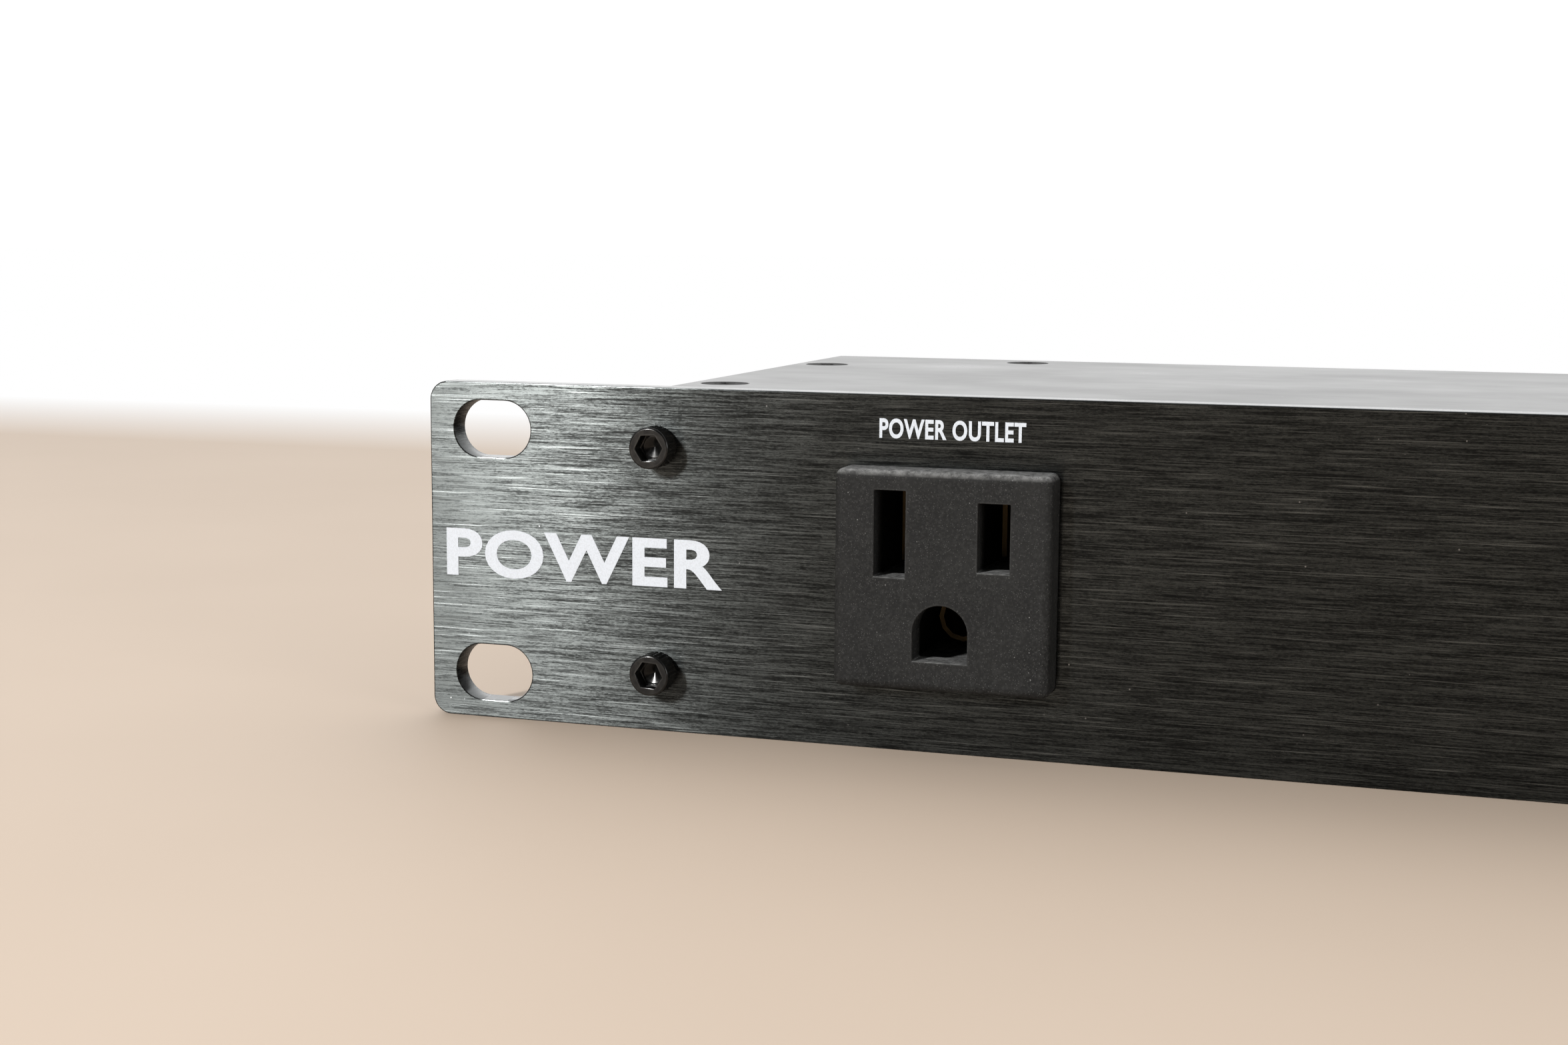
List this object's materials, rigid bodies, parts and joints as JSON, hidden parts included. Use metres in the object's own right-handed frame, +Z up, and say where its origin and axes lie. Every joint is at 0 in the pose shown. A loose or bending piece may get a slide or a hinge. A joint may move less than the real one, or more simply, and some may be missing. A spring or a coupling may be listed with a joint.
{
  "type": "rack power strip",
  "caption": "One-unit 19-inch rack power strip: brushed black panel with slotted ears and one outlet in front, shallow steel case, a row of outlets behind, rocker switch.",
  "frame": {"origin": "under the middle of the case on its base, halfway between the faces of the front and rear outlets", "axes": "+X to the right along the panel as seen from the front, +Y from the front to the back, +Z up"},
  "size_m": [0.4826, 0.1106, 0.0437],
  "materials": {
    "anodised_panel": "black anodised, brushed along its length",
    "powder_coat": "semi-gloss black powder coat, fine texture",
    "black_oxide_screw": "glossy black oxide",
    "outlet_plastic": "matte moulded charcoal",
    "contact_brass": "bare",
    "switch_plastic": "moulded black, satin gloss",
    "indicator_lens": "clear green, glossy",
    "zinc_steel": "zinc plated",
    "nylon": "natural nylon",
    "circuit_board": "green solder mask",
    "varistor_coating": "blue epoxy",
    "capacitor_case": "yellow moulded case",
    "ferrite": "green coated ferrite",
    "wire_black": "black insulation",
    "wire_white": "white insulation",
    "wire_green": "green insulation"
  },
  "bodies": {
    "chassis": {"board_standoff_1": "nylon", "board_standoff_2": "nylon", "board_standoff_3": "nylon", "board_standoff_4": "nylon", "breaker_body": "switch_plastic", "breaker_nut": "zinc_steel", "bus_bar_earth": "contact_brass", "bus_bar_hot": "contact_brass", "bus_bar_neutral": "contact_brass", "chassis_tray": "powder_coat", "cover_screw_1": "black_oxide_screw", "cover_screw_2": "black_oxide_screw", "cover_screw_3": "black_oxide_screw", "cover_screw_4": "black_oxide_screw", "cover_screw_5": "black_oxide_screw", "cover_screw_6": "black_oxide_screw", "cover_screw_7": "black_oxide_screw", "earth_nut": "zinc_steel", "filter_capacitor": "capacitor_case", "filter_choke": "ferrite", "front_contact_earth": "contact_brass", "front_contact_hot": "contact_brass", "front_contact_neutral": "contact_brass", "front_outlet": "outlet_plastic", "front_panel": "anodised_panel", "indicator_bezel": "switch_plastic", "indicator_lamp": "indicator_lens", "inlet_body": "switch_plastic", "inlet_pin_earth": "zinc_steel", "inlet_pin_line": "zinc_steel", "inlet_pin_neutral": "zinc_steel", "inlet_screw_1": "zinc_steel", "inlet_screw_2": "zinc_steel", "lead_earth": "wire_green", "lead_front_outlet": "wire_black", "lead_line": "wire_black", "lead_neutral": "wire_white", "lead_switch": "wire_black", "panel_screw_1": "black_oxide_screw", "panel_screw_2": "black_oxide_screw", "panel_screw_3": "black_oxide_screw", "panel_screw_4": "black_oxide_screw", "rear_outlet_1": "outlet_plastic", "rear_outlet_2": "outlet_plastic", "rear_outlet_3": "outlet_plastic", "rear_outlet_4": "outlet_plastic", "rear_outlet_5": "outlet_plastic", "rear_outlet_6": "outlet_plastic", "rear_outlet_7": "outlet_plastic", "rear_outlet_8": "outlet_plastic", "surge_board": "circuit_board", "switch_housing": "switch_plastic", "switch_terminal_1": "contact_brass", "switch_terminal_2": "contact_brass", "top_cover": "powder_coat", "varistor_1": "varistor_coating", "varistor_2": "varistor_coating"},
    "rocker": {"switch_rocker": "switch_plastic"},
    "button": {"breaker_button": "nylon"}
  },
  "joints": [
    {"name": "rocker_hinge", "type": "hinge", "parent": "chassis", "child": "rocker", "pos_m": [0.19, -0.0502, 0.02185], "axis": [-1, 0, 0], "range_deg": [0, 24]},
    {"name": "reset_slide", "type": "slide", "parent": "chassis", "child": "button", "axis": [0, 1, 0], "range_m": [0, 0.0035]}
  ]
}
